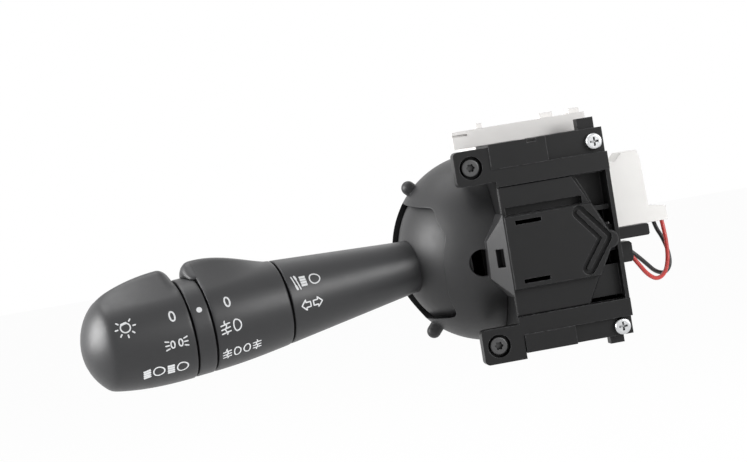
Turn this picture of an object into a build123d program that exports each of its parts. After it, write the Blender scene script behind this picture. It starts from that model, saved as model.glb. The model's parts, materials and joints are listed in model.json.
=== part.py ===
from build123d import *
import math
import os

# Steering column light stalk with its switch housing, in millimetres.
# Seen from the driver's seat: X to the right, Y away from the driver, Z up.
# The origin lies on the fixing ears' rear seat, midway between the two fixing screws.

# Fits
STANDING = (Align.CENTER, Align.CENTER, Align.MIN)
RUN_FIT = 0.05
MOVE_GAP = 0.3
SEAT_GAP = 0.05

# Fixing ears and screws
SCREW_PITCH = 60.2
EAR_FRONT = -12.5
EAR_LEFT = -5.5
EAR_INNER_Z = 24.2
EAR_OUTER_Z = 36.0
EAR_CORNER = 1.6
EAR_FLANGE = 4.5
EAR_BOSS_R = 3.9
FIX_THREAD_R = 2.0
FIX_NECK_R = 1.6
FIX_HEAD_R = 3.1
FIX_HEAD_H = 2.8
FIX_HEAD_SEAT = -9.0
FIX_END = 6.0
COUNTERBORE_R = 3.9
TORX_R = 1.45
TORX_DEPTH = 1.8

# Housing block behind the frame
HOUSE_LEFT = 7.8
HOUSE_RIGHT = 47.0
HOUSE_TOP = 36.8
HOUSE_BOTTOM = -34.0
SPLIT_Y = 12.0
HOUSE_WALL = 1.8
SLAB_FRONT = -8.5
SLAB_THICK = 2.2
PASSAGE_R = 26.0

# Ball joint cover
BALL_X = 9.2
BALL_Y = 28.0
BALL_Z = 1.2
BALL_R = 33.5
DOME_WALL = 1.8
DOME_DEPTH = 13.2
WINDOW_TURN = 10.0
WINDOW_EDGE = ((-12.0, 20.6), (16.5, 17.2), (23.2, 7.0), (21.2, -8.0), (16.2, -21.5), (-12.0, -21.8))
WINDOW_CORNER = 5.0
PEG_R = 2.5
PEG_PLACES = ((134.5, 1.4), (228.7, 2.2))
PEG_ROOT = 1.0
DIMPLE_R = 4.7
DIMPLE_X = 0.6
DIMPLE_Z = -2.4
GUSSET_EDGE = ((6.4, 10.9), (2.3, 4.7), (2.0, -8.0), (6.9, -13.6))
GUSSET_TOP = 13.4
GUSSET_BOTTOM = -15.0
GUSSET_FRONT = -14.2
GUSSET_SLOPE = 52.1
GUSSET_SLOT = (5.6, -11.0, -1.4)
GUSSET_SLOT_SIZE = (3.4, 5.0, 6.2)
SHUTTER_WALL = 1.5
SHUTTER_ANGLE = 56.0

# Raised faces of the frame, front planes and outlines
BAR_FRONT = -13.0
MID_FRONT = -12.5
PLATE_FRONT = -11.5
PLATFORM_FRONT = -14.5
POCKET_FRONT = -10.0
BAND_LOW = 28.4
MID_LOW = 22.3
LOW_BAR_TOP = -21.8
LOW_BAR_MID = -27.8
BAND_END = 26.6
PLATFORM_TOP = 12.3
PLATFORM_BOTTOM = -12.6
NOSE = (42.7, -0.95)
NOSE_R = 3.2
EDGE_BREAK = 0.45
PLATE_EDGE = (
    (33.8, MID_LOW), (37.2, 15.9), (NOSE[0] + 0.6, 2.2), (NOSE[0] + 0.3, -4.1),
    (39.4, -9.8), (37.2, -14.9), (33.4, LOW_BAR_TOP),
)
PLATFORM_EDGE = (
    (38.4, PLATFORM_TOP), (NOSE[0] + 0.3, 2.2), (NOSE[0], -4.1), (38.0, PLATFORM_BOTTOM),
)
TRENCH = (9.4, 36.0, 12.35, 15.0)
TRENCH_FLOOR = -7.6
RIM_WIDTH = 1.4
RIM_FRONT = -12.0
POCKET_FLOOR = -3.6
POCKET_EDGE = ((35.6, 21.8), (45.6, 21.8), (45.6, 10.6), (40.4, 10.6), (38.4, 15.8))
POCKET_BLOCK = (33.0, 4.8)
OPENINGS = (
    ((41.4, 9.0), (45.6, 9.0), (45.6, 3.6), (43.8, 3.6)),
    ((43.6, -5.2), (45.6, -5.2), (45.6, -9.8), (41.0, -9.8)),
    ((35.0, -20.3), (45.6, -20.3), (45.6, -21.7), (34.4, -21.7)),
)
SLOT_X = (11.5, 20.5)
SLOT_Z = (9.7, -10.1)
SLOT_HEIGHT = 1.4
GROOVE_POINTS = ((33.6, 9.6), (41.2, 0.0), (34.2, -9.4))
GROOVE_WIDTH = 4.6
GROOVE_DEPTH = 1.6
GROOVE_RIB = 1.5
GROOVE_RIB_SINK = 0.5
CLIP_THICK = 4.0
UPPER_CLIP = (39.1, 44.9, 3.8)
LOWER_CLIP = (39.1, 43.9, 2.6)

# Cover screws that clamp the frame to the contact carrier
COVER_X = 43.3
COVER_Z = (32.2, -31.0)
COVER_HEAD_R = 2.85
COVER_HEAD_H = 2.0
COVER_SHANK_R = 1.5
COVER_BOSS_R = 3.6
CROSS_SPAN = 3.0
CROSS_WIDTH = 0.7
CROSS_DEPTH = 1.2
COVER_END = 24.0

# Contact carrier
REAR_WALL = 2.8
ROOF_LEFT = -1.8
ROOF_RIGHT = 45.2
ROOF_TOP = 42.8
ROOF_FRONT = 2.0
LIP_THICK = 4.0
LIP_REACH = 8.6
BOARD_THICK = 1.6
BOARD_LEFT = 19.4
BOARD_STAND = 1.4
BOARD_MARGIN = 0.5
PILLAR_R = 2.0
PILLAR_INSET = (6.0, 10.0)
NOTCH = (20.0, 23.2, 1.3)
LIP_GROOVE = (3.6, 41.0, 0.6)
TAB_RISE = 1.8
TAB_FRONT = ROOF_FRONT + 2
TAB_LENGTH = 6.0
ROOF_TABS = ((7.4, 9.4), (29.9, 34.5), (40.4, 44.0))
SHROUD_X = (17.5, 43.5)
SHROUD_Z = (-9.0, 13.0)
SHROUD_WALL = 1.6
SHROUD_DEPTH = 12.0
BLADE_COLUMNS = 6
BLADE_PITCH = 3.9
BLADE_ROWS = (-3.2, 7.2)
BLADE_WIDTH = 2.2
BLADE_THICK = 0.8
BLADE_SHORT = 2.0

# Lever: droops to its tip and leans towards the driver
ARM_TILT = 12.1
ARM_DROOP = 4.3
ARM_ROOT = 24.0
ARM_ROOT_R = 9.3
ARM_ROOT_S = 31.0
ARM_END = 78.4
ARM_END_R = 13.6
PLUG_R = 7.0
PLUG_END = 39.0
CORE_R = 5.4
CORE_BORE_R = 3.4
CAVITY_R = 8.0
CAVITY = (46.0, ARM_END - 6.4)
YOKE_HALF = 6.0
EYE_R = 6.2
EYE_HALF = 13.0
PIN_R = 2.0
BORE_START = 13.5
TAIL_R = 4.3
TAIL_END = 17.0
PLUNGER_R = 2.4
TIP_REACH = 22.5
SPRING_SEAT = 9.0
SPRING_R = 1.7
SPRING_WIRE = 0.3
SPRING_TURNS = 4
PLUNGER_BACK = 14.0

# Turn carriage
CARRIAGE_X = (-6.0, 7.0)
CARRIAGE_Y = (-20.0, 13.0)
CARRIAGE_Z = 16.3
CARRIAGE_WALL = 2.6
TRUNNION_R = 2.5
TRUNNION_FRONT = 5.4
BEARING_R = 4.6
TRACK_HALF = 9.0
TRACK_Y = (26.0, 37.4)
TRACK_START = 18.0
TRACK_POCKET = (27.0, 2.0)
NOTCH_R = 1.6
NOTCH_SINK = 1.2
STROKE = 10.0

# Grip pieces along the lever, distances from the ball centre
SEAM = 0.6
COLLAR_START = ARM_END + SEAM
COLLAR_END = COLLAR_START + 27.8
RING_START = COLLAR_END + SEAM
RING_END = RING_START + 5.9
CORE_END = RING_END - 0.3
KNOB_START = RING_END + SEAM
KNOB_ROUND = KNOB_START + 20.4
COLLAR_START_R = 13.75
COLLAR_END_R = 15.6
RING_R = 15.7
KNOB_START_R = 15.8
KNOB_END_R = 15.2
CREST_R = 3.6
COLLAR_STEPS = 6
COLLAR_RISE = 3.7
KNOB_STEPS = 8
KNOB_CREST = (
    (0.0, 16.5), (3.1, 18.4), (8.1, 19.1), (14.1, 19.0), (20.4, 17.7), (26.2, 15.3), (31.1, 10.6),
)
GRIP_WALL = 2.2
FOG_TUBE_R = 3.3
SHAFT_R = 1.95
KEY = (COLLAR_START + 8.0, COLLAR_START + 11.0)
FOG_TUBE = (20.0, KEY[1])
SHAFT = (14.0, KNOB_ROUND - 2.3)
KEY_REACH = 9.0
KEY_WIDTH = 3.0
KEY_ANGLE = -90.0
FOG_TRAVEL = 72.0

# Self cancelling finger
FINGER_X = 41.0
FINGER_Z = -0.35
FINGER_TIP = 59.4
FINGER_HEIGHT = 4.0
FINGER_Y = (-5.5, -0.9)
FINGER_EYE_R = 3.6
FINGER_PIN_R = 1.5
FINGER_PIN_Y = (-8.0, 3.4)
FINGER_WINDOW = 4.6
FINGER_HEAD = 1.0
RETURN_R = 2.4
RETURN_WIRE = 0.35
RETURN_TURNS = 3

# Wire block, connector and the two leads
BLOCK = (54.6, 1.8, 8.6, -11.0, -3.9)
PLUG_FRONT = 13.5
PLUG_BACK = 25.0
PLUG_EDGE = ((72.4, 0.5), (72.4, 5.5), (66.2, 6.5), (65.6, 24.0), (64.8, 26.5), (59.4, 26.5), (56.4, 23.6))
PLUG_TOP = 23.0
WIRE_R = 0.75
BLACK_ROUTE = (
    (54.6, 6.3, -7.3), (57.6, 6.8, -10.2), (60.7, 8.2, -13.4), (64.1, 10.6, -16.8),
    (68.3, 13.0, -18.2), (71.4, 15.2, -15.6), (71.9, 17.2, -10.6), (71.0, 19.0, -5.6),
    (69.6, 20.2, -2.2), (69.2, 20.5, 0.5),
)
RED_ROUTE = (
    (54.6, 3.6, -9.6), (56.8, 3.9, -13.0), (59.4, 4.8, -16.8), (63.2, 7.0, -19.3),
    (67.2, 9.6, -17.9), (69.6, 12.0, -13.9), (70.8, 14.2, -9.1), (71.4, 16.4, -3.9),
    (71.2, 17.2, 0.5),
)

BALL = Vector(BALL_X, BALL_Y, BALL_Z)
tilt = math.radians(ARM_TILT)
droop = math.radians(ARM_DROOP)
ARM_AXIS = Vector(
    -math.cos(tilt) * math.cos(droop),
    -math.sin(tilt) * math.cos(droop),
    -math.sin(droop),
)
CREST = (Vector(0, 0, 1) - ARM_AXIS * ARM_AXIS.dot(Vector(0, 0, 1))).normalized()
STALK = Plane(origin=BALL, x_dir=CREST, z_dir=ARM_AXIS)
INNER_R = BALL_R - DOME_WALL
SHUTTER_R = INNER_R - MOVE_GAP
REAR_FACE = BALL_Y + DOME_DEPTH
SLAB_REAR = SLAB_FRONT + SLAB_THICK
BOARD_REAR = REAR_FACE - BOARD_STAND


def block(x0, x1, y0, y1, z0, z1):
    """Box between two corners."""
    size = Box(x1 - x0, y1 - y0, z1 - z0)
    return Pos((x0 + x1) / 2, (y0 + y1) / 2, (z0 + z1) / 2) * size


def rod_y(x, z, radius, y0, y1):
    """Cylinder along Y."""
    start = Plane(origin=(x, y0, z), x_dir=(1, 0, 0), z_dir=(0, 1, 0))
    return start * Cylinder(radius, y1 - y0, align=STANDING)


def rod_s(radius, s0, s1):
    """Cylinder on the lever's axis, in the lever's own frame."""
    return Pos(0, 0, s0) * Cylinder(radius, s1 - s0, align=STANDING)


def plate(points, y_front, y_back):
    """Outline in X and Z, extruded from its back plane to its front plane."""
    face = make_face(Polyline(*points, close=True))
    seat = Plane(origin=(0, y_back, 0), x_dir=(1, 0, 0), z_dir=(0, -1, 0))
    return extrude(seat * face, amount=y_back - y_front)


def rectangle(x0, x1, z0, z1):
    """Corners of an upright rectangle."""
    return ((x0, z0), (x1, z0), (x1, z1), (x0, z1))


def ball(radius):
    """Sphere about the lever's pivot."""
    return Pos(*BALL) * Sphere(radius)


def lathe(points):
    """Turned solid from (radius, distance) points, in the lever's own frame."""
    return revolve(Plane.XZ * make_face(Polyline(*points, close=True)), Axis.Z)


def drop_face(s, radius, rise, crest=CREST_R):
    """Round section with a crest that stands out by rise, at distance s."""
    reach = radius + rise - crest
    lean = math.acos((radius - crest) / reach)
    big = (radius * math.cos(lean), radius * math.sin(lean))
    small = (reach + crest * math.cos(lean), crest * math.sin(lean))
    body = ThreePointArc(big, (-radius, 0), (big[0], -big[1]))
    low = Line((big[0], -big[1]), (small[0], -small[1]))
    tip = ThreePointArc((small[0], -small[1]), (reach + crest, 0), small)
    high = Line(small, big)
    return Pos(0, 0, s) * make_face([body, low, tip, high])


def coil(radius, wire, length, turns):
    """Wire spring along Z from its first to its last turn's centre."""
    path = Helix(pitch=length / turns, height=length, radius=radius)
    section = Plane(origin=path @ 0, z_dir=path % 0) * Circle(wire)
    return sweep(section, path=path, is_frenet=True)


def dome_cover():
    """Ball-shaped front cover with the lever window, snap pegs and gusset."""
    front = block(BALL_X - BALL_R, HOUSE_LEFT - SEAT_GAP, BALL_Y - BALL_R, REAR_FACE - SEAT_GAP,
                  BALL_Z - BALL_R, BALL_Z + BALL_R)
    shell = ball(BALL_R) & front
    inward = BALL - Vector(DIMPLE_X, BALL_Y - math.sqrt(BALL_R**2 - (BALL_X - DIMPLE_X)**2), DIMPLE_Z)
    dimple = Plane(origin=BALL - inward.normalized() * BALL_R, z_dir=inward)
    shell -= dimple * Cylinder(DIMPLE_R, 4 * DOME_WALL)
    edge_x = HOUSE_LEFT - SEAT_GAP
    gusset = plate(((edge_x, GUSSET_TOP), *GUSSET_EDGE, (edge_x, GUSSET_BOTTOM)), GUSSET_FRONT, BALL_Y)
    slope = Rot(0, 0, -GUSSET_SLOPE)
    beyond = Pos(0, -BALL_R, 0) * Box(4 * BALL_R, 2 * BALL_R, 2 * BALL_R)
    gusset -= Pos(edge_x, GUSSET_FRONT, 0) * slope * beyond
    shell += gusset
    shell -= Pos(*GUSSET_SLOT) * slope * Box(*GUSSET_SLOT_SIZE)
    for angle, rise in PEG_PLACES:
        turn = math.radians(angle)
        way = Vector(math.cos(turn), 0, math.sin(turn))
        base = Plane(origin=BALL + way * (BALL_R - PEG_ROOT), z_dir=way)
        shell += base * Cylinder(PEG_R, rise + PEG_ROOT, align=STANDING)
        shell += Pos(*(BALL + way * (BALL_R + rise))) * Sphere(PEG_R)
    shell -= ball(INNER_R)
    window = make_face(Polyline(*WINDOW_EDGE, close=True))
    window = fillet(window.vertices(), WINDOW_CORNER)
    turn = math.radians(WINDOW_TURN)
    look = Plane(origin=BALL, x_dir=(math.sin(turn), -math.cos(turn), 0),
                 z_dir=(-math.cos(turn), -math.sin(turn), 0))
    return shell - extrude(look * window, amount=BALL_R + 5)


def nosed_plate(edge, y_front):
    """Plate from the housing's left side to a right edge that ends in a rounded nose."""
    body = plate(((HOUSE_LEFT, edge[0][1]), *edge, (HOUSE_LEFT, edge[-1][1])), y_front, SLAB_REAR)
    body += rod_y(*NOSE, NOSE_R, y_front, SLAB_REAR)
    return chamfer(body.faces().sort_by(Axis.Y)[0].edges(), EDGE_BREAK)


def ear(side):
    """Fixing ear with its counterbored hole, above or below the housing."""
    z0, z1 = sorted((side * EAR_INNER_Z, side * EAR_OUTER_Z))
    flange_rear = EAR_FRONT + EAR_FLANGE
    body = plate(rectangle(EAR_LEFT, HOUSE_LEFT + 1.0, z0, z1), EAR_FRONT, flange_rear)
    outer = body.edges().filter_by(Axis.Y).sort_by(Axis.X)[:2]
    body = fillet(outer, EAR_CORNER)
    centre = side * SCREW_PITCH / 2
    body += rod_y(0, centre, EAR_BOSS_R, flange_rear - 1, 0)
    body += block(0, HOUSE_LEFT + 1.0, flange_rear - 1, 0, centre - EAR_BOSS_R, centre + EAR_BOSS_R)
    body -= rod_y(0, centre, FIX_THREAD_R + 2 * RUN_FIT, EAR_FRONT - 1, 1)
    body -= rod_y(0, centre, COUNTERBORE_R, EAR_FRONT - 1, FIX_HEAD_SEAT)
    return body - ball(BALL_R + SEAT_GAP)


def chevron(width, y_front):
    """Bent bar with round ends, from a front plane back to the groove's floor."""
    face = make_face(offset(Polyline(*GROOVE_POINTS), width / 2, side=Side.BOTH))
    floor = PLATFORM_FRONT + GROOVE_DEPTH
    seat = Plane(origin=(0, floor, 0), x_dir=(1, 0, 0), z_dir=(0, -1, 0))
    return extrude(seat * face, amount=floor - y_front)


def mounting_frame():
    """Front frame: ears, bars, nosed platform, skirt walls and bearing bosses."""
    x0, x1, z0, z1 = HOUSE_LEFT, HOUSE_RIGHT, HOUSE_BOTTOM, HOUSE_TOP
    body = block(x0, x1, SLAB_FRONT, SPLIT_Y, z0, z1)
    wall = HOUSE_WALL
    body -= block(x0 + wall, x1 - wall, SLAB_REAR, SPLIT_Y + 1, z0 + wall, z1 - wall)
    body -= Plane(origin=(x0 - 1, BALL_Y, BALL_Z), z_dir=(1, 0, 0)) * Cylinder(
        PASSAGE_R, HOUSE_WALL + 2, align=STANDING)
    body += plate(rectangle(x0 - 1.0, BAND_END, BAND_LOW, z1), BAR_FRONT, SLAB_REAR)
    body += plate(rectangle(x0, x1, MID_LOW, BAND_LOW), MID_FRONT, SLAB_REAR)
    body += plate(rectangle(x0, x1, LOW_BAR_MID, LOW_BAR_TOP), MID_FRONT, SLAB_REAR)
    body += plate(rectangle(x0 + 1.2, BAND_END, z0, LOW_BAR_MID), BAR_FRONT, SLAB_REAR)
    body += plate(rectangle(BAND_END, x1, BAND_LOW, z1), POCKET_FRONT, SLAB_REAR)
    body += plate(rectangle(BAND_END, x1, z0, LOW_BAR_MID), POCKET_FRONT, SLAB_REAR)
    body += block(POCKET_BLOCK[0], x1, SLAB_REAR - 1, POCKET_FLOOR + HOUSE_WALL, POCKET_BLOCK[1], MID_LOW)
    body -= plate(POCKET_EDGE, PLATFORM_FRONT, POCKET_FLOOR)
    for outline in OPENINGS:
        body -= plate(outline, PLATFORM_FRONT, POCKET_FLOOR + HOUSE_WALL + 1)
    body += block(x1 - RIM_WIDTH, x1, RIM_FRONT, SLAB_REAR, LOW_BAR_TOP, MID_LOW)
    body += nosed_plate(PLATE_EDGE, PLATE_FRONT)
    body -= block(*TRENCH[:2], PLATFORM_FRONT, TRENCH_FLOOR, *TRENCH[2:])
    body += nosed_plate(PLATFORM_EDGE, PLATFORM_FRONT)
    body -= chevron(GROOVE_WIDTH, PLATFORM_FRONT)
    body += chevron(GROOVE_RIB, PLATFORM_FRONT + GROOVE_RIB_SINK)
    for z in SLOT_Z:
        body -= block(*SLOT_X, PLATFORM_FRONT - 1, SLAB_REAR + 1, z - SLOT_HEIGHT / 2, z + SLOT_HEIGHT / 2)
    for side in (1, -1):
        body += ear(side)
    body += block(*UPPER_CLIP[:2], SLAB_FRONT, SLAB_FRONT + CLIP_THICK, z1, z1 + UPPER_CLIP[2])
    body += block(*LOWER_CLIP[:2], SLAB_FRONT, SLAB_FRONT + CLIP_THICK, z0 - LOWER_CLIP[2], z0)
    body -= block(*NOTCH[:2], BAR_FRONT - 1, ROOF_FRONT + LIP_THICK + 2 * SEAT_GAP, z1 - NOTCH[2], z1 + 1)
    inside = block(x0, x1, SLAB_REAR, SPLIT_Y, z0, z1)
    for z in COVER_Z:
        body += rod_y(COVER_X, z, COVER_BOSS_R, SLAB_REAR, SPLIT_Y) & inside
        body -= rod_y(COVER_X, z, COVER_SHANK_R + 2 * RUN_FIT, PLATFORM_FRONT, SPLIT_Y)
    bearing_end = BALL_Y + CARRIAGE_Y[0] - MOVE_GAP
    bearing = rod_y(BALL_X, BALL_Z, BEARING_R, SLAB_REAR, bearing_end)
    left = bearing & ball(INNER_R - MOVE_GAP)
    body += (bearing & inside) + left
    body -= rod_y(BALL_X, BALL_Z, TRUNNION_R + RUN_FIT, bearing_end - TRUNNION_FRONT, BALL_Y)
    body -= block(x1 - HOUSE_WALL - 1, x1 + 1, FINGER_Y[0] - MOVE_GAP, FINGER_Y[1] + MOVE_GAP,
                  FINGER_Z - FINGER_WINDOW, FINGER_Z + FINGER_WINDOW)
    body -= rod_y(FINGER_X, FINGER_Z, FINGER_PIN_R + RUN_FIT, FINGER_PIN_Y[0], SPLIT_Y)
    return body


def blade_holes(y0, y1, grow):
    """Rows of flat terminals, or with grow their holes."""
    middle = sum(SHROUD_X) / 2
    blades = []
    for row in BLADE_ROWS:
        for column in range(BLADE_COLUMNS):
            x = middle + (column - (BLADE_COLUMNS - 1) / 2) * BLADE_PITCH
            half_w = BLADE_WIDTH / 2 + grow
            half_t = BLADE_THICK / 2 + grow
            blades.append(block(x - half_w, x + half_w, y0, y1, row - half_t, row + half_t))
    return blades


def contact_carrier():
    """Pale rear half of the housing, with its raised roof and rear wall."""
    x0, x1, z0, z1 = HOUSE_LEFT, HOUSE_RIGHT, HOUSE_BOTTOM, HOUSE_TOP
    y0 = SPLIT_Y + SEAT_GAP
    y1 = REAR_FACE + REAR_WALL
    body = block(x0, x1, y0, y1, z0, z1)
    roof_x = ROOF_LEFT + LIP_REACH
    body += block(ROOF_LEFT, ROOF_RIGHT, ROOF_FRONT, ROOF_FRONT + LIP_THICK, z1 + SEAT_GAP, ROOF_TOP)
    groove_x, groove_z, groove = LIP_GROOVE
    body -= block(ROOF_LEFT - 1, groove_x, ROOF_FRONT - 1, ROOF_FRONT + 2 * groove,
                  groove_z, groove_z + groove)
    tongue = NOTCH[0] + SEAT_GAP, NOTCH[1] - SEAT_GAP
    body += block(*tongue, ROOF_FRONT, ROOF_FRONT + LIP_THICK, z1 - NOTCH[2] + SEAT_GAP, z1 + 1)
    body += block(roof_x, ROOF_RIGHT, ROOF_FRONT, y1, z1 + SEAT_GAP, ROOF_TOP)
    body += block(x0, ROOF_RIGHT, y0, y1, z1 - 1, z1 + 1)
    half = rod_y(BALL_X, BALL_Z, math.sqrt(BALL_R**2 - DOME_DEPTH**2), REAR_FACE, y1)
    body += half & block(BALL_X - BALL_R, x0 + 1, REAR_FACE, y1, -BALL_R, 2 * BALL_R)
    body -= block(x0 + HOUSE_WALL, x1 - HOUSE_WALL, y0 - 1, REAR_FACE, z0 + HOUSE_WALL, z1 - HOUSE_WALL)
    body -= block(x0 + HOUSE_WALL, ROOF_RIGHT - HOUSE_WALL, SPLIT_Y + HOUSE_WALL, REAR_FACE,
                  z1 - HOUSE_WALL - 1, ROOF_TOP - HOUSE_WALL)
    body -= Plane(origin=(x0 - 1, BALL_Y, BALL_Z), z_dir=(1, 0, 0)) * Cylinder(
        PASSAGE_R, HOUSE_WALL + 2, align=STANDING) & block(
        x0 - 1, x1, y0 - 1, REAR_FACE, z0, z1)
    inside = block(x0, x1, y0, REAR_FACE, z0, z1)
    for z in COVER_Z:
        body += rod_y(COVER_X, z, COVER_BOSS_R, y0, REAR_FACE) & inside
        body -= rod_y(COVER_X, z, COVER_SHANK_R + RUN_FIT / 2, y0 - 1, COVER_END + 1)
    inset_x, inset_z = PILLAR_INSET
    for x in (BOARD_LEFT + PILLAR_R * 2, x1 - inset_x):
        for z in (z0 + inset_z, z1 - inset_z):
            body += rod_y(x, z, PILLAR_R, BOARD_REAR, REAR_FACE)
    for left, right in ROOF_TABS:
        body += block(left, right, TAB_FRONT, TAB_FRONT + TAB_LENGTH, ROOF_TOP - 0.5, ROOF_TOP + TAB_RISE)
    body -= rod_y(BALL_X, BALL_Z, TRUNNION_R + RUN_FIT, REAR_FACE - 1, y1 + 1)
    for hole in blade_holes(REAR_FACE - 1, y1 + 1, 0.1):
        body -= hole
    return body


def connector_shroud():
    """Rear plug socket around the terminal blades."""
    y0 = REAR_FACE + REAR_WALL + SEAT_GAP
    (x0, x1), (z0, z1) = SHROUD_X, SHROUD_Z
    body = block(x0, x1, y0, y0 + SHROUD_DEPTH, z0, z1)
    body = fillet(body.edges().filter_by(Axis.Y), 1.2)
    body += block(x0 - 2, x1 + 2, y0, y0 + 1.5, z0 - 2, z1 + 2)
    body -= block(x0 + SHROUD_WALL, x1 - SHROUD_WALL, y0 + 1.5, y0 + SHROUD_DEPTH + 1,
                  z0 + SHROUD_WALL, z1 - SHROUD_WALL)
    for hole in blade_holes(y0 - 1, y0 + 3, 0.1):
        body -= hole
    return body


def terminal_blades():
    """Flat terminals from the board to just inside the socket's mouth."""
    end = REAR_FACE + REAR_WALL + SHROUD_DEPTH - BLADE_SHORT
    return Compound(children=blade_holes(BOARD_REAR, end, 0))


def contact_board():
    """Board that carries the terminals inside the housing."""
    z0 = HOUSE_BOTTOM + HOUSE_WALL + BOARD_MARGIN
    z1 = HOUSE_TOP - HOUSE_WALL - BOARD_MARGIN
    right = HOUSE_RIGHT - HOUSE_WALL - BOARD_MARGIN
    body = block(BOARD_LEFT, right, BOARD_REAR - BOARD_THICK, BOARD_REAR, z0, z1)
    for z in COVER_Z:
        body -= rod_y(COVER_X, z, COVER_BOSS_R + 0.4, SPLIT_Y, REAR_FACE)
    return body


def star_recess():
    """Six-lobed driver recess, open towards the driver."""
    star = Circle(TORX_R * 0.8)
    for lobe in range(6):
        turn = math.radians(60 * lobe)
        star += Pos(TORX_R * 0.74 * math.cos(turn), TORX_R * 0.74 * math.sin(turn)) * Circle(TORX_R * 0.26)
    seat = Plane(origin=(0, 0, 0), x_dir=(1, 0, 0), z_dir=(0, -1, 0))
    return extrude(seat * star, amount=FIX_HEAD_H)


def fixing_screws():
    """Two captive screws with star recesses; their ends stand out behind the ears."""
    screws = []
    for side in (1, -1):
        z = side * SCREW_PITCH / 2
        screw = rod_y(0, z, FIX_HEAD_R, FIX_HEAD_SEAT - FIX_HEAD_H, FIX_HEAD_SEAT)
        rim = screw.edges().filter_by(GeomType.CIRCLE).sort_by(Axis.Y)[0]
        screw = fillet(rim, 0.6)
        screw += rod_y(0, z, FIX_NECK_R, FIX_HEAD_SEAT - 1, 1)
        screw += chamfer(rod_y(0, z, FIX_THREAD_R, 0, FIX_END).edges().sort_by(Axis.Y)[-1], 0.5)
        floor = FIX_HEAD_SEAT - FIX_HEAD_H + TORX_DEPTH
        screw -= Pos(0, floor, z) * star_recess()
        screws.append(screw)
    return Compound(children=screws)


def cover_screws():
    """Two bright screws through the frame into the carrier."""
    screws = []
    for z in COVER_Z:
        screw = rod_y(COVER_X, z, COVER_HEAD_R, POCKET_FRONT - COVER_HEAD_H, POCKET_FRONT)
        screw = fillet(screw.edges().filter_by(GeomType.CIRCLE).sort_by(Axis.Y)[0], 0.9)
        screw += rod_y(COVER_X, z, COVER_SHANK_R, POCKET_FRONT - 1, COVER_END)
        for wide, high in ((CROSS_SPAN, CROSS_WIDTH), (CROSS_WIDTH, CROSS_SPAN)):
            screw -= Pos(COVER_X, POCKET_FRONT - COVER_HEAD_H, z) * Box(wide, 2 * CROSS_DEPTH, high)
        screws.append(screw)
    return Compound(children=screws)


def detent_track():
    """Cam with three notches that the lever's plunger rides over."""
    reach = TIP_REACH + MOVE_GAP
    x1 = HOUSE_RIGHT - HOUSE_WALL
    body = block(BALL_X + TRACK_START, x1, *TRACK_Y, BALL_Z - TRACK_HALF, BALL_Z + TRACK_HALF)
    body -= rod_y(BALL_X, BALL_Z, reach, TRACK_Y[0] - 1, TRACK_Y[1] + 1)
    for angle in (-STROKE, 0, STROKE):
        turn = math.radians(angle + ARM_DROOP)
        x = BALL_X + (reach + NOTCH_SINK) * math.cos(turn)
        z = BALL_Z + (reach + NOTCH_SINK) * math.sin(turn)
        body -= rod_y(x, z, NOTCH_R, TRACK_Y[0] - 1, TRACK_Y[1] + 1)
    start, rim = TRACK_POCKET
    half = TRACK_HALF - rim
    return body - block(BALL_X + start, x1 - rim, *TRACK_Y, BALL_Z - half, BALL_Z + half)


def turn_carriage():
    """Rectangular ring on two trunnions, which turns with the lever's up and down stroke."""
    (x0, x1), (y0, y1) = CARRIAGE_X, CARRIAGE_Y
    body = block(x0, x1, y0, y1, -CARRIAGE_Z, CARRIAGE_Z)
    body = fillet(body.edges().filter_by(Axis.X), 2.0)
    inner_z = EYE_HALF + MOVE_GAP
    body -= block(x0 - 1, x1 + 1, y0 + CARRIAGE_WALL, y1 - CARRIAGE_WALL, -inner_z, inner_z)
    body += rod_y(0, 0, TRUNNION_R, y0 - TRUNNION_FRONT, y0 + 1)
    body += rod_y(0, 0, TRUNNION_R, y1 - 1, y1 + REAR_WALL - MOVE_GAP)
    body -= Cylinder(PIN_R + RUN_FIT, 2 * CARRIAGE_Z + 2)
    return Pos(*BALL) * body


def lever_pin():
    """Upright pin that the lever is pulled about."""
    body = Cylinder(PIN_R, 2 * CARRIAGE_Z)
    return Pos(*BALL) * chamfer(body.edges().filter_by(GeomType.CIRCLE), 0.4)


def lever_yoke():
    """Pivot block of the lever, with its eye, its plug into the arm and its tail."""
    bar = block(-YOKE_HALF, YOKE_HALF, -YOKE_HALF, YOKE_HALF, -YOKE_HALF, ARM_ROOT - MOVE_GAP)
    bar += rod_s(PLUG_R - RUN_FIT, YOKE_HALF, PLUG_END)
    bar += rod_s(TAIL_R, -TAIL_END, 0)
    bar -= rod_s(CORE_BORE_R, BORE_START, PLUG_END + 1)
    bar -= rod_s(PLUNGER_R + RUN_FIT, -TAIL_END - 1, -SPRING_SEAT)
    body = STALK * bar
    body += Pos(*BALL) * Cylinder(EYE_R, 2 * EYE_HALF)
    return body - Pos(*BALL) * Cylinder(PIN_R + RUN_FIT, 3 * EYE_HALF)


def detent_plunger():
    """Round-ended plunger in the lever's tail."""
    body = rod_s(PLUNGER_R, -TIP_REACH + PLUNGER_R, -PLUNGER_BACK)
    return STALK * (body + Pos(0, 0, -TIP_REACH + PLUNGER_R) * Sphere(PLUNGER_R))


def detent_spring():
    """Coil spring behind the plunger."""
    length = PLUNGER_BACK - SPRING_SEAT - 2 * (SPRING_WIRE + SEAT_GAP)
    body = coil(SPRING_R, SPRING_WIRE, length, SPRING_TURNS)
    return STALK * (Pos(0, 0, -PLUNGER_BACK + SPRING_WIRE + SEAT_GAP) * body)


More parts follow.
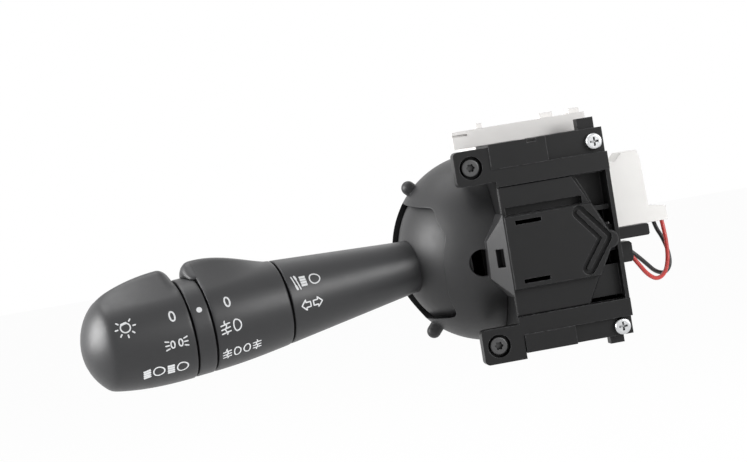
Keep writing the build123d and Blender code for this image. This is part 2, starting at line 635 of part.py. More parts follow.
def lever_arm():
    """Tapered arm, hollow between its two inner seats."""
    slope = (ARM_END_R - ARM_ROOT_R) / (ARM_END - ARM_ROOT_S)
    neck = ARM_ROOT_R - slope * (ARM_ROOT_S - ARM_ROOT)
    hold = CORE_R + SEAT_GAP
    outer = lathe(((0, ARM_ROOT), (neck, ARM_ROOT), (ARM_END_R, ARM_END), (0, ARM_END)))
    rim = outer.edges().filter_by(GeomType.CIRCLE).sort_by(lambda e: e.center().Z)[-1]
    outer = fillet(rim, 0.5)
    outer -= rod_s(PLUG_R, ARM_ROOT - 1, PLUG_END + SEAT_GAP)
    outer -= rod_s(hold, PLUG_END - 1, ARM_END + 1)
    outer -= lathe(((0, CAVITY[0]), (CAVITY_R, CAVITY[0]), (CAVITY_R + 2.5, CAVITY[1]), (0, CAVITY[1])))
    return STALK * outer


def ball_shutter():
    """Thin ball cap that closes the window around the arm at every lever position."""
    shell = Sphere(SHUTTER_R) - Sphere(SHUTTER_R - SHUTTER_WALL)
    cut = SHUTTER_R * math.cos(math.radians(SHUTTER_ANGLE))
    shell &= Pos(0, 0, cut) * Cylinder(SHUTTER_R + 1, SHUTTER_R, align=STANDING)
    slope = (ARM_END_R - ARM_ROOT_R) / (ARM_END - ARM_ROOT_S)
    shell += rod_s(ARM_ROOT_R + 1.5, ARM_ROOT, ARM_ROOT_S - 2.0)
    hole = lathe(((0, 0), (ARM_ROOT_R - slope * ARM_ROOT_S + SEAT_GAP, 0),
                  (ARM_END_R + SEAT_GAP, ARM_END), (0, ARM_END)))
    shell -= hole
    rear = block(-2 * BALL_R, BALL_R, REAR_FACE - MOVE_GAP, 3 * BALL_R, -BALL_R, 2 * BALL_R)
    return STALK * shell - rear


def core_tube():
    """Fixed tube that carries the collar and the index ring, slotted for the fog drive."""
    body = rod_s(CORE_R, PLUG_END + 2 * SEAT_GAP, CORE_END) - rod_s(CORE_BORE_R, PLUG_END, CORE_END + 1)
    beside = math.degrees(math.asin(KEY_WIDTH / 2 / CORE_BORE_R)) + 6
    arc = FOG_TRAVEL + 2 * beside
    far = 4 * CORE_R
    corners = [Vector(far, 0).rotate(Axis.Z, angle) for angle in (0, arc / 2, arc)]
    wedge = make_face(Polyline((0, 0), *corners, close=True))
    low = KEY[0] - MOVE_GAP
    high = KEY[1] + MOVE_GAP
    slot = Pos(0, 0, low) * Rot(0, 0, KEY_ANGLE - beside) * extrude(wedge, amount=high - low)
    return STALK * (body - slot)


def index_ring():
    """Fixed ring with the index dot, between the collar and the knob."""
    outer = loft([drop_face(RING_START, RING_R, 1.0), drop_face(RING_END, RING_R, 0.5)])
    outer -= rod_s(RING_R - GRIP_WALL, RING_START + 3.0, RING_END + 1)
    outer += rod_s(CORE_R + 2.0, RING_START, CORE_END - 1)
    return STALK * (outer - rod_s(CORE_R + SEAT_GAP, RING_START - 1, RING_END + 1))


def ease(share):
    """Smooth step from 0 to 1."""
    share = min(max(share, 0.0), 1.0)
    return share * share * (3 - 2 * share)


def fog_collar():
    """Turning collar with a finger crest that grows towards its outer end."""
    span = COLLAR_END - COLLAR_START
    faces = []
    for step in range(COLLAR_STEPS + 1):
        share = step / COLLAR_STEPS
        radius = COLLAR_START_R + (COLLAR_END_R - COLLAR_START_R) * share
        rise = 0.1 + COLLAR_RISE * ease((share - 0.12) / 0.75)
        faces.append(drop_face(COLLAR_START + share * span, radius, rise))
    body = loft(faces)
    body -= lathe(((0, COLLAR_START + GRIP_WALL), (COLLAR_START_R - GRIP_WALL, COLLAR_START + GRIP_WALL),
                   (COLLAR_END_R - GRIP_WALL, COLLAR_END + 1), (0, COLLAR_END + 1)))
    body += rod_s(COLLAR_START_R - 1, KEY[0] - 1, KEY[1] + 1)
    body += rod_s(CORE_R + 2.2, COLLAR_START + 1, COLLAR_END - 2)
    body -= rod_s(CORE_R + 2 * RUN_FIT, COLLAR_START - 1, COLLAR_END + 1)
    key_way = Box(2 * KEY_REACH, KEY_WIDTH + 2 * RUN_FIT, KEY[1] - KEY[0] + 2 * RUN_FIT)
    body -= Rot(0, 0, KEY_ANGLE) * Pos(RUN_FIT, 0, sum(KEY) / 2) * key_way
    return STALK * body


def fog_tube():
    """Inner tube that carries the collar's turn to the contacts."""
    body = rod_s(FOG_TUBE_R, *FOG_TUBE)
    key = Box(KEY_REACH, KEY_WIDTH, KEY[1] - KEY[0])
    body += Rot(0, 0, KEY_ANGLE) * Pos(KEY_REACH / 2, 0, sum(KEY) / 2) * key
    return STALK * (body - rod_s(SHAFT_R + RUN_FIT, FOG_TUBE[0] - 1, FOG_TUBE[1] + 1))


def knob_body():
    """Outer form of the light knob: round end, and a crest for finger and thumb."""
    turned = lathe(((0, KNOB_START), (KNOB_START_R, KNOB_START), (KNOB_END_R, KNOB_ROUND), (0, KNOB_ROUND)))
    turned += Pos(0, 0, KNOB_ROUND) * Sphere(KNOB_END_R)
    crest_line = Spline(*KNOB_CREST)
    faces = []
    for step in range(KNOB_STEPS + 1):
        point = crest_line @ (step / KNOB_STEPS)
        over = max(KNOB_START + point.X - KNOB_ROUND, 0.0)
        share = min(point.X / (KNOB_ROUND - KNOB_START), 1.0)
        radius = KNOB_START_R + (KNOB_END_R - KNOB_START_R) * share
        radius = math.sqrt(radius**2 - over**2) - 0.4
        faces.append(drop_face(KNOB_START + point.X, radius, max(point.Y - radius, 0.05)))
    return turned + loft(faces)


def light_knob():
    """Turning end knob, a shell with a central boss for the shaft."""
    body = knob_body()
    inner = lathe(((0, KNOB_START - 1), (KNOB_START_R - GRIP_WALL, KNOB_START - 1),
                   (KNOB_END_R - GRIP_WALL, KNOB_ROUND), (0, KNOB_ROUND)))
    inner += Pos(0, 0, KNOB_ROUND) * Sphere(KNOB_END_R - GRIP_WALL)
    body -= inner
    body += rod_s(SHAFT_R + 2.3, CORE_END + 2.0, KNOB_ROUND + KNOB_END_R - GRIP_WALL + 0.5)
    body -= rod_s(SHAFT_R + RUN_FIT / 2, KNOB_START, SHAFT[1] + SEAT_GAP)
    return STALK * body


def knob_shaft():
    """Shaft through the lever that carries the knob's turn to the contacts."""
    return STALK * rod_s(SHAFT_R, *SHAFT)


def cancel_finger():
    """Finger that the steering hub strikes to cancel the turn signal."""
    y0, y1 = FINGER_Y
    half = FINGER_HEIGHT / 2
    body = block(FINGER_X, FINGER_TIP, y0, y1, FINGER_Z - half, FINGER_Z + half)
    body = chamfer(body.edges().filter_by(Axis.Y).sort_by(Axis.X)[-2:], 0.5)
    body += rod_y(FINGER_X, FINGER_Z, FINGER_EYE_R, y0, y1)
    return body - rod_y(FINGER_X, FINGER_Z, FINGER_PIN_R + RUN_FIT, y0 - 1, y1 + 1)


def finger_pin():
    """Headed pin of the cancelling finger."""
    body = rod_y(FINGER_X, FINGER_Z, FINGER_PIN_R, *FINGER_PIN_Y)
    return body + rod_y(FINGER_X, FINGER_Z, FINGER_EYE_R, FINGER_PIN_Y[1] - FINGER_HEAD, FINGER_PIN_Y[1])


def finger_spring():
    """Coil that returns the finger to the middle."""
    room = RETURN_WIRE + 2 * SEAT_GAP
    y0 = FINGER_Y[1] + room
    length = FINGER_PIN_Y[1] - FINGER_HEAD - room - y0
    seat = Plane(origin=(FINGER_X, y0, FINGER_Z), x_dir=(1, 0, 0), z_dir=(0, 1, 0))
    return seat * coil(RETURN_R, RETURN_WIRE, length, RETURN_TURNS)


def wire_block():
    """Small block on the housing's side that the two leads come out of."""
    x1, y0, y1, z0, z1 = BLOCK
    body = block(HOUSE_RIGHT + SEAT_GAP, x1, y0, y1, z0, z1)
    return chamfer(body.edges().filter_by(Axis.Y).sort_by(Axis.X)[-2:], 0.8)


def lead_connector():
    """Pale plug on the side of the carrier that the two leads end in."""
    x0 = HOUSE_RIGHT + SEAT_GAP
    return plate(((x0, PLUG_EDGE[0][1]), *PLUG_EDGE, (x0, PLUG_TOP)), PLUG_FRONT, PLUG_BACK)


def wire(route, name):
    """Round lead along straight runs joined by tangent arcs."""
    points = [Vector(*p) for p in route]
    radii = []
    for before, corner, after in zip(points, points[1:], points[2:]):
        one = corner - before
        two = after - corner
        half_turn = math.radians(one.get_angle(two)) / 2
        radii.append(0.45 * min(one.length, two.length) / math.tan(half_turn))
    print(name, "bend radii", [round(r, 1) for r in radii])
    path = FilletPolyline(*points, radius=radii)
    section = Plane(origin=path @ 0, z_dir=path % 0) * Circle(WIRE_R)
    tube = sweep(section, path=path)
    fill = tube.volume / (math.pi * WIRE_R**2 * path.length)
    print(name, "length", round(path.length, 1), "volume", round(fill, 4))
    return tube


PARTS = {
    "dome_cover": dome_cover,
    "mounting_frame": mounting_frame,
    "contact_carrier": contact_carrier,
    "connector_shroud": connector_shroud,
    "terminal_blades": terminal_blades,
    "contact_board": contact_board,
    "fixing_screws": fixing_screws,
    "cover_screws": cover_screws,
    "detent_track": detent_track,
    "turn_carriage": turn_carriage,
    "lever_pin": lever_pin,
    "lever_yoke": lever_yoke,
    "detent_plunger": detent_plunger,
    "detent_spring": detent_spring,
    "lever_arm": lever_arm,
    "ball_shutter": ball_shutter,
    "core_tube": core_tube,
    "index_ring": index_ring,
    "fog_collar": fog_collar,
    "fog_tube": fog_tube,
    "light_knob": light_knob,
    "knob_shaft": knob_shaft,
    "cancel_finger": cancel_finger,
    "finger_pin": finger_pin,
    "finger_spring": finger_spring,
    "wire_block": wire_block,
    "lead_connector": lead_connector,
    "lead_wire_black": lambda: wire(BLACK_ROUTE, "black lead"),
    "lead_wire_red": lambda: wire(RED_ROUTE, "red lead"),
}

os.makedirs("parts", exist_ok=True)
for node, build in PARTS.items():
    solid = build()
    solid.label = node
    export_step(solid, f"parts/{node}.step")
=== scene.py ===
"""Looks of a steering column light stalk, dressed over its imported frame.

Row frame, in metres: X to the right as the driver sees it, Y away from the driver, Z up.
Sizes below are in millimetres, and MM turns them into metres.
"""

import json
import logging
import math
from collections.abc import Callable, Iterable, Sequence
from dataclasses import dataclass
from enum import Enum

import bpy
from mathutils import Matrix, Vector

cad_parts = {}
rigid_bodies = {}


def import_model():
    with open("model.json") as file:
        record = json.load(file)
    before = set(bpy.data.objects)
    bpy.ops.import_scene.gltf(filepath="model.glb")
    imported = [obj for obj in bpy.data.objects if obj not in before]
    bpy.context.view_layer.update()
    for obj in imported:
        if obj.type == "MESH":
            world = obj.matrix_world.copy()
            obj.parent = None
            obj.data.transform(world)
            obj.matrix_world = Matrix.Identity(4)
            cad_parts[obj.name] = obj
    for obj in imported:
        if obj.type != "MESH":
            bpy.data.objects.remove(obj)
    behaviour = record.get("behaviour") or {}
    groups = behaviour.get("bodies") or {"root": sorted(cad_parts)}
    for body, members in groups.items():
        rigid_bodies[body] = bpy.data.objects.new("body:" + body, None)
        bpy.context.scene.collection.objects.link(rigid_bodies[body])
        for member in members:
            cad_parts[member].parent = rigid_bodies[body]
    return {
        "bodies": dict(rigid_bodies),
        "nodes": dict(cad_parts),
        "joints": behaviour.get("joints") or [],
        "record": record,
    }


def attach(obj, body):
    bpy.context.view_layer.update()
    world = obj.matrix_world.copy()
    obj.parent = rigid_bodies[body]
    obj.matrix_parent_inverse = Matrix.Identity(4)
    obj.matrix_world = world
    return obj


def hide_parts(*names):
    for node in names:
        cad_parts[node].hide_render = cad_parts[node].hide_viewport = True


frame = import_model()

LOG = logging.getLogger("light_stalk")
MM = 0.001

# Grips: share of the sink on the crest, flare at the dome's root, shift of its tip, smallest size,
# and where sections stand closer together, as shares of a rim and as gaps before a domed end.
CREST_SINK = 0.1
DOME_FLARE = 0.04
TIP_SHIFT = 0.04
SMALL = 1e-3
RIM_SHARES = (0.08, 0.3, 0.6)
TIP_GAPS = (0.02, 0.08, 0.2, 0.4, 0.55)

# Ink: turns in degrees at which the round end of a stroke gets a pair of points.
END_TURNS = (25.0, 50.0, 70.0, 86.0)

Point2 = tuple[float, float]
Point3 = tuple[float, float, float]
Colour = tuple[float, float, float]


class Body(Enum):
    """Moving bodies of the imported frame."""

    HOUSING = "housing"
    CARRIAGE = "carriage"
    LEVER = "lever"
    COLLAR = "collar"
    KNOB = "knob"
    FINGER = "finger"


class ShaderGraph:
    """Node tree of one material, built round its Principled shader."""

    def __init__(self, name: str) -> None:
        """Start an empty material.

        Args:
            name: Name of the material.
        """
        self.material = bpy.data.materials.new(name)
        self.material.use_nodes = True
        self.tree = self.material.node_tree
        self.shader = next(n for n in self.tree.nodes if n.type == "BSDF_PRINCIPLED")
        self.place = self.add("ShaderNodeTexCoord").outputs["Object"]

    def add(self, kind: str, **values: object) -> bpy.types.Node:
        """Add a node and fill in its properties.

        Args:
            kind: Blender's class name of the node.
            **values: Properties of the node.

        Returns:
            The new node.
        """
        node = self.tree.nodes.new(kind)
        for key, value in values.items():
            setattr(node, key, value)
        return node

    def feed(self, node: bpy.types.Node, **sources: object) -> bpy.types.Node:
        """Link or set inputs of a node, with underscores for the spaces in their names.

        Args:
            node: Node that gets the inputs.
            **sources: A socket to link, or a value to set, for each input.

        Returns:
            The same node.
        """
        for key, source in sources.items():
            target = node.inputs[key.replace("_", " ")]
            if isinstance(source, bpy.types.NodeSocket):
                self.tree.links.new(source, target)
            else:
                target.default_value = source
        return node

    def noise(self, size: float, detail: float = 2.0, roughness: float = 0.5) -> bpy.types.NodeSocket:
        """Noise of a given grain size in millimetres, from 0 to 1."""
        node = self.add("ShaderNodeTexNoise")
        self.feed(node, Vector=self.place, Scale=1.0 / (size * MM), Detail=detail, Roughness=roughness)
        return node.outputs[0]

    def span(self, source: bpy.types.NodeSocket, low: float, high: float,
             start: float = 0.0, end: float = 1.0) -> bpy.types.NodeSocket:
        """Map a value from start..end to low..high."""
        node = self.add("ShaderNodeMapRange")
        self.feed(node, Value=source, From_Min=start, From_Max=end, To_Min=low, To_Max=high)
        return node.outputs[0]

    def blend(self, share: bpy.types.NodeSocket, one: Colour, two: Colour) -> bpy.types.NodeSocket:
        """Colour that goes from one to two with a share."""
        node = self.add("ShaderNodeMix", data_type="RGBA")
        self.tree.links.new(share, node.inputs[0])
        node.inputs[6].default_value = (*one, 1.0)
        node.inputs[7].default_value = (*two, 1.0)
        return node.outputs[2]

    def edges(self, radius: float) -> tuple[bpy.types.NodeSocket, bpy.types.NodeSocket]:
        """Rounded normal near sharp edges, and how far it turns there.

        Args:
            radius: Radius of the rounding in millimetres.

        Returns:
            The rounded normal and a mask that is 1 on an edge.
        """
        bevel = self.add("ShaderNodeBevel", samples=6)
        bevel.inputs["Radius"].default_value = radius * MM
        normal = self.add("ShaderNodeNewGeometry").outputs["Normal"]
        dot = self.add("ShaderNodeVectorMath", operation="DOT_PRODUCT")
        self.tree.links.new(bevel.outputs[0], dot.inputs[0])
        self.tree.links.new(normal, dot.inputs[1])
        return bevel.outputs[0], self.span(dot.outputs["Value"], 1.0, 0.0, start=0.80, end=0.99)

    def bump(self, height: bpy.types.NodeSocket, depth: float,
             normal: bpy.types.NodeSocket | None = None) -> bpy.types.NodeSocket:
        """Normal of a relief of the given depth in millimetres."""
        node = self.add("ShaderNodeBump")
        self.feed(node, Height=height, Distance=depth * MM, Strength=1.0)
        if normal is not None:
            self.feed(node, Normal=normal)
        return node.outputs[0]

    def paint_recess_shade(self, colour: bpy.types.NodeSocket, reach: float, share: float) -> bpy.types.NodeSocket:
        """Colour with painted shade inside recesses, darkened by ambient occlusion.

        Args:
            colour: Colour outside.
            reach: Size of the recesses in millimetres.
            share: How much of the darkening counts.

        Returns:
            The darkened colour.
        """
        closed = self.add("ShaderNodeAmbientOcclusion", samples=8)
        self.feed(closed, Distance=reach * MM)
        painted_shade_share = self.span(closed.outputs["AO"], share, 0.0, start=0.15, end=0.85)
        return self.turn_to(colour, painted_shade_share, (0.001, 0.001, 0.001))

    def turn_to(self, colour: bpy.types.NodeSocket, share: bpy.types.NodeSocket,
                other: Colour) -> bpy.types.NodeSocket:
        """Colour that turns to another one where the share is high."""
        node = self.add("ShaderNodeMix", data_type="RGBA")
        self.tree.links.new(share, node.inputs[0])
        self.tree.links.new(colour, node.inputs[6])
        node.inputs[7].default_value = (*other, 1.0)
        return node.outputs[2]


def shade(colour: Colour, factor: float) -> Colour:
    """Lighter or darker copy of a colour."""
    return tuple(min(c * factor, 1.0) for c in colour)


@dataclass(frozen=True)
class MouldedPlastic:
    """Moulded plastic with eroded grain, uneven tone, edges lightened partly by wear and partly by a
    painted highlight, and painted shade in recesses where asked.
    """

    name: str
    colour: Colour
    roughness: float = 0.5
    grain: float = 0.35
    depth: float = 0.012
    edge: float = 0.35
    edge_wear_and_highlight: float = 0.25
    mottle: float = 0.12
    gloss: float = 0.5
    edge_wear_highlight_gain: float = 2.4
    recess_shade_reach: float = 0.0

    def material(self) -> bpy.types.Material:
        """Build the finish's material."""
        graph = ShaderGraph(self.name)
        tone = graph.noise(9.0, detail=3.0)
        colour = graph.blend(tone, shade(self.colour, 1.0 - self.mottle),
                             shade(self.colour, 1.0 + self.mottle))
        rounded, edge = graph.edges(self.edge)
        # Noisy patches along the edges turn lighter: partly wear, partly a painted highlight of edges
        # catching the light.
        edge_wear_highlight_share = graph.span(graph.noise(1.4, detail=4.0), 0.0, self.edge_wear_and_highlight, start=0.35, end=0.6)
        mask = graph.add("ShaderNodeMath", operation="MULTIPLY")
        graph.tree.links.new(edge, mask.inputs[0])
        graph.tree.links.new(edge_wear_highlight_share, mask.inputs[1])
        # Painted shade: recesses darken towards near black.
        if self.recess_shade_reach:
            colour = graph.paint_recess_shade(colour, self.recess_shade_reach, 0.6)
        colour = graph.turn_to(colour, mask.outputs[0], shade(self.colour, self.edge_wear_highlight_gain))
        grain = graph.noise(self.grain, detail=1.5)
        rough = graph.span(graph.noise(2.3, detail=3.0), self.roughness - 0.05, self.roughness + 0.05)
        graph.feed(graph.shader, Base_Color=colour, Roughness=rough,
                   Normal=graph.bump(grain, self.depth, rounded), Specular_IOR_Level=self.gloss)
        return graph.material


@dataclass(frozen=True)
class PlatedMetal:
    """Plated or oxidised metal with fine turning marks."""

    name: str
    colour: Colour
    roughness: float = 0.25
    metallic: float = 1.0
    edge: float = 0.12

    def material(self) -> bpy.types.Material:
        """Build the finish's material."""
        graph = ShaderGraph(self.name)
        cloud = graph.noise(1.6, detail=5.0)
        colour = graph.blend(cloud, shade(self.colour, 0.82), self.colour)
        # Painted shade darkens the metal inside recesses, such as screw sockets.
        colour = graph.paint_recess_shade(colour, 1.2, 0.9)
        rounded, _ = graph.edges(self.edge)
        marks = graph.noise(0.12, detail=3.0, roughness=0.7)
        rough = graph.span(graph.noise(0.7, detail=4.0), self.roughness * 0.7, self.roughness * 1.4)
        graph.feed(graph.shader, Base_Color=colour, Metallic=self.metallic, Roughness=rough,
                   Normal=graph.bump(marks, 0.004, rounded))
        return graph.material


@dataclass(frozen=True)
class PrintedInk:
    """Thin pad-printed ink."""

    name: str
    colour: Colour

    def material(self) -> bpy.types.Material:
        """Build the finish's material."""
        graph = ShaderGraph(self.name)
        thin = graph.noise(0.25, detail=2.0)
        graph.feed(graph.shader, Base_Color=graph.blend(thin, shade(self.colour, 0.86), self.colour),
                   Roughness=graph.span(thin, 0.45, 0.6))
        return graph.material


@dataclass(frozen=True)
class Laminate:
    """Coated circuit laminate with a faint weave."""

    name: str
    colour: Colour

    def material(self) -> bpy.types.Material:
        """Build the finish's material."""
        graph = ShaderGraph(self.name)
        weave = graph.add("ShaderNodeTexWave", wave_type="BANDS", bands_direction="DIAGONAL")
        graph.feed(weave, Vector=graph.place, Scale=900.0, Distortion=1.5)
        colour = graph.blend(weave.outputs[1], shade(self.colour, 0.85), self.colour)
        graph.feed(graph.shader, Base_Color=colour, Roughness=0.35,
                   Normal=graph.bump(weave.outputs[1], 0.01))
        return graph.material


GRIP = MouldedPlastic("grip_plastic", (0.017, 0.0172, 0.0185), roughness=0.42, grain=0.3, depth=0.014)
# Frame: strong edge lightening, partly wear and mostly a painted highlight, and painted shade in its
# recesses.
FRAME_BLACK = MouldedPlastic("frame_plastic", (0.0065, 0.0065, 0.0068), roughness=0.4, edge_wear_and_highlight=0.9,
                             gloss=0.25, edge_wear_highlight_gain=16.0, recess_shade_reach=2.5)
DOME_BLACK = MouldedPlastic("dome_plastic", (0.014, 0.014, 0.0148), roughness=0.47, grain=0.4, gloss=0.4)
CARRIER_WHITE = MouldedPlastic("carrier_plastic", (0.75, 0.735, 0.72), roughness=0.5, mottle=0.06,
                               edge_wear_and_highlight=0.0)
CONNECTOR_WHITE = MouldedPlastic("connector_plastic", (0.80, 0.79, 0.77), roughness=0.45, mottle=0.04,
                                 edge_wear_and_highlight=0.0)
INNER_CREAM = MouldedPlastic("inner_plastic", (0.70, 0.68, 0.60), roughness=0.4, mottle=0.05, edge_wear_and_highlight=0.0)
WIRE_BLACK = MouldedPlastic("wire_black_skin", (0.012, 0.012, 0.012), roughness=0.3, grain=0.9, edge=0.05)
WIRE_RED = MouldedPlastic("wire_red_skin", (0.44, 0.030, 0.024), roughness=0.3, grain=0.9, edge=0.05,
                          edge_wear_and_highlight=0.0)
BRIGHT_ZINC = PlatedMetal("bright_zinc", (0.66, 0.67, 0.68), roughness=0.28)
BLACK_OXIDE = PlatedMetal("black_oxide", (0.085, 0.085, 0.086), roughness=0.38, metallic=0.7)
DRAWN_STEEL = PlatedMetal("drawn_steel", (0.55, 0.55, 0.56), roughness=0.3)
TINNED = PlatedMetal("tinned_terminal", (0.72, 0.71, 0.67), roughness=0.22)
BOARD_GREEN = Laminate("board_laminate", (0.03, 0.10, 0.045))
SYMBOL_WHITE = PrintedInk("symbol_ink", (0.66, 0.67, 0.68))

FINISHES = (GRIP, FRAME_BLACK, DOME_BLACK, CARRIER_WHITE, CONNECTOR_WHITE, INNER_CREAM, WIRE_BLACK,
            WIRE_RED, BRIGHT_ZINC, BLACK_OXIDE, DRAWN_STEEL, TINNED, BOARD_GREEN, SYMBOL_WHITE)


class PaintShop:
    """Makes each finish once and puts it on pieces."""

    def __init__(self, finishes: Iterable[object]) -> None:
        """Build all materials.

        Args:
            finishes: Finishes with a name and a material method.
        """
        self.materials = {finish.name: finish.material() for finish in finishes}

    def coat(self, finish: object, *pieces: bpy.types.Object) -> None:
        """Give pieces a finish in every material slot.

        Args:
            finish: One of the finishes.
            *pieces: Objects to coat.
        """
        material = self.materials[finish.name]
        for piece in pieces:
            if not piece.material_slots:
                piece.data.materials.append(material)
            for slot in piece.material_slots:
                slot.material = material

    def coat_nodes(self, finish: object, *names: str) -> None:
        """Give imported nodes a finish.

        Args:
            finish: One of the finishes.
            *names: Names of the nodes.
        """
        self.coat(finish, *(frame["nodes"][name] for name in names))


@dataclass(frozen=True)
class LeverAxis:
    """Axis of the lever, from its ball joint to its tip, in millimetres and degrees."""

    centre: Point3 = (9.2, 28.0, 1.2)
    tilt: float = 12.1
    droop: float = 4.3

    def frame(self) -> Matrix:
        """Matrix from the lever's own frame to the row frame.

        Returns:
            A matrix whose X is the crest's side, Y away from the driver and Z the axis.
        """
        tilt, droop = math.radians(self.tilt), math.radians(self.droop)
        level = math.cos(droop)
        axis = Vector((-math.cos(tilt) * level, -math.sin(tilt) * level, -math.sin(droop)))
        crest = (Vector((0, 0, 1)) - axis * axis.z).normalized()
        side = axis.cross(crest)
        turn = Matrix((crest, side, axis)).transposed().to_4x4()
        return Matrix.Translation(Vector(self.centre) * MM) @ turn


def new_piece(name: str, points: Sequence[Vector], faces: Sequence[Sequence[int]], body: Body,
              smooth_angle: float = 32.0) -> bpy.types.Object:
    """Make a mesh piece that rides on a body.

    Args:
        name: Name of the piece.
        points: Corners in metres, in the row frame.
        faces: Corner numbers of each face.
        body: Body that the piece rides on.
        smooth_angle: Edges bent by more than this many degrees stay sharp.

    Returns:
        The new object.
    """
    mesh = bpy.data.meshes.new(name)
    mesh.from_pydata([tuple(point) for point in points], [], [tuple(face) for face in faces])
    mesh.validate()
    mesh.shade_smooth()
    mesh.set_sharp_from_angle(angle=math.radians(smooth_angle))
    piece = bpy.data.objects.new(name, mesh)
    bpy.context.collection.objects.link(piece)
    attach(piece, body.value)
    return piece


@dataclass(frozen=True)
class GripForm:
    """Hollow round grip with a finger crest, as radii along the lever in millimetres.

    The sink lowers the surface, in full on the side away from the crest and by CREST_SINK of it on
    the crest. A dome above 0 closes the far end, and its middle lies dome_shift towards the crest.
    """

    start: float
    end: float
    radius: Callable[[float], float]
    rise: Callable[[float], float]
    sink: Callable[[float], float] = lambda station: 0.0
    crest: float = 3.6
    rim: float = 0.55
    wall: float = 2.2
    least_bore: float = 0.5
    dome: float = 0.0
    dome_shift: float = 0.5
    dome_blend: float = 12.0
    corner: float = 44.0
    step: float = 0.8
    sectors: int = 168

    def cap(self, station: float) -> float:
        """Radius that the domed end leaves at a station."""
        depth = station - self.end + self.dome
        plain = math.sqrt(max(self.dome ** 2 - depth ** 2, 0.0))
        return plain + DOME_FLARE * max(self.dome_blend - depth, 0.0) ** 2

    def section(self, station: float, angle: float) -> float:
        """Distance of the surface from the axis before the domed end cuts it.

        Args:
            station: Distance along the lever.
            angle: Angle from the crest in radians.

        Returns:
            The distance in millimetres, with the rims rounded.
        """
        radius = self.radius(station)
        rise = max(self.rise(station), 0.0)
        near = min(station - self.start, self.rim if self.dome else self.end - station)
        if near < self.rim:
            radius -= self.rim - math.sqrt(self.rim ** 2 - (self.rim - near) ** 2)
        if rise < SMALL:
            return radius
        angle = abs(math.remainder(angle, math.tau))
        centre = radius + rise - self.crest
        lean = math.acos(min((radius - self.crest) / centre, 1.0))
        inner = math.atan2(self.crest * math.sin(lean), centre + self.crest * math.cos(lean))
        if angle > lean:
            return radius
        if angle > inner:
            return radius / math.cos(angle - lean)
        return centre * math.cos(angle) + math.sqrt(self.crest ** 2 - (centre * math.sin(angle)) ** 2)

    def reach(self, station: float, angle: float) -> float:
        """Distance of the finished surface from the axis.

        Args:
            station: Distance along the lever.
            angle: Angle from the crest in radians.

        Returns:
            The distance in millimetres.
        """
        under = CREST_SINK + (1.0 - CREST_SINK) * (1.0 - math.cos(angle)) / 2
        plain = self.section(station, angle) - self.sink(station) * under
        if not self.dome:
            return plain
        cap = max(self.cap(station), SMALL)
        shift = min(self.dome_shift, TIP_SHIFT * cap)
        cap = shift * math.cos(angle) + math.sqrt(cap ** 2 - (shift * math.sin(angle)) ** 2)
        return (plain ** -self.corner + cap ** -self.corner) ** (-1.0 / self.corner)

    def stations(self) -> list[float]:
        """Distances of the sections, closer together at rims and at a domed end."""
        count = round((self.end - self.start) / self.step)
        plain = [self.start + (self.end - self.start) * i / count for i in range(count + 1)]
        near = [self.rim * share for share in RIM_SHARES]
        far = TIP_GAPS if self.dome else near
        if self.dome:
            plain.pop()
        return sorted(plain + [self.start + gap for gap in near] + [self.end - gap for gap in far])

    def bore(self, station: float) -> float:
        """Radius of the hollow inside."""
        if not self.dome:
            return self.radius(station) - self.wall
        ahead = min(station + self.wall, self.end)
        return min(self.radius(ahead) - self.sink(ahead), self.cap(ahead)) - self.wall

    def build(self, name: str, body: Body, frame: Matrix) -> bpy.types.Object:
        """Make the grip's mesh: outer skin, end faces and inner wall.

        Args:
            name: Name of the piece.
            body: Body that it rides on.
            frame: Matrix from the lever's frame to the row frame.

        Returns:
            The new object.
        """
        angles = [math.tau * i / self.sectors for i in range(self.sectors)]
        outer = self.stations()
        inner = [s for s in reversed(outer) if self.bore(s) > self.least_bore]
        rings = [[(self.reach(s, a), s) for a in angles] for s in outer]
        rings += [[(self.bore(s), s)] * self.sectors for s in inner]
        points = [frame @ (Vector((r * math.cos(a), r * math.sin(a), s)) * MM)
                  for ring in rings for (r, s), a in zip(ring, angles)]
        faces = []
        for row in range(len(rings)):
            after = (row + 1) % len(rings)
            if self.dome and row == len(outer) - 1:
                faces.append([row * self.sectors + i for i in range(self.sectors)])
                faces.append([after * self.sectors + i for i in reversed(range(self.sectors))])
                continue
            for i in range(self.sectors):
                j = (i + 1) % self.sectors
                faces.append((row * self.sectors + i, row * self.sectors + j,
                              after * self.sectors + j, after * self.sectors + i))
        return new_piece(name, points, faces, body)


